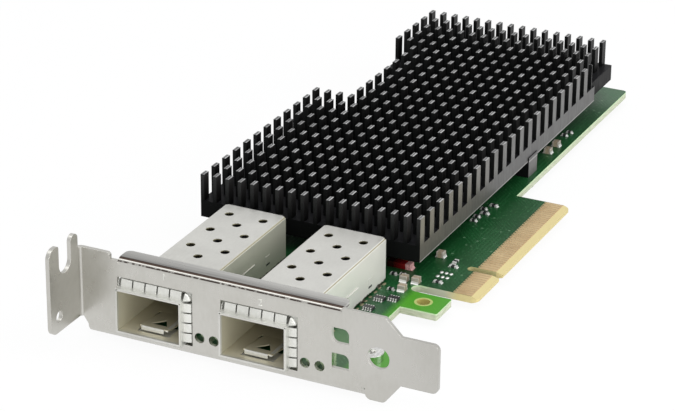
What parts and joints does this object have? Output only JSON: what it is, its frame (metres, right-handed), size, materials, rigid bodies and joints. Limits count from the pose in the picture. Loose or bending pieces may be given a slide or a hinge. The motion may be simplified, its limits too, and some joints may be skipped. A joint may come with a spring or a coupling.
{
  "type": "network interface card",
  "caption": "Low-profile expansion card with caged transceiver ports behind a folded steel bracket, a green board with a gold edge connector and a black pin-fin heatsink.",
  "frame": {"origin": "axis of the plated hole in the board's foot, at the board's component face", "axes": "+X towards the edge connector, +Y from the bracket to the far end of the card, +Z out of the component face"},
  "size_m": [0.0801, 0.1789, 0.0234],
  "materials": {
    "board": "green solder mask, satin",
    "contact_gold": "thin gold plating",
    "bracket_nickel": "nickel plated, satin",
    "cage_nickel": "nickel plated, matte",
    "spring_nickel": "bright nickel",
    "screw_steel": "zinc plated",
    "sink_black": "black anodised",
    "socket_plastic": "black moulded",
    "light_plastic": "milky lens",
    "chip_package": "moulded and printed-free",
    "pad_grey": "soft thermal pad",
    "ceramic": "tan ceramic with tinned ends",
    "resistor_black": "black glaze with tinned ends",
    "pad_tin": "tinned pads",
    "fuse_red": "red coating",
    "inductor_grey": "pressed powder",
    "crystal_metal": "metal lid"
  },
  "bodies": {
    "root": {"circuit_board": "board", "edge_contacts": "contact_gold", "bracket": "bracket_nickel", "bracket_screws": "screw_steel", "heatsink_screws": "screw_steel", "cage_left": "cage_nickel", "collar_left": "spring_nickel", "port_connector_left": "socket_plastic", "cage_right": "cage_nickel", "collar_right": "spring_nickel", "port_connector_right": "socket_plastic", "status_lights": "light_plastic", "heatsink": "sink_black", "controller_chip": "chip_package", "thermal_pad": "pad_grey", "ceramic_capacitors": "ceramic", "chip_resistors": "resistor_black", "resistor_arrays": "resistor_black", "contact_pads": "pad_tin", "chip_fuse": "fuse_red", "power_inductors": "inductor_grey", "power_capacitors": "ceramic", "flash_memory": "chip_package", "power_regulator": "chip_package", "clock_crystal": "crystal_metal"}
  },
  "joints": []
}
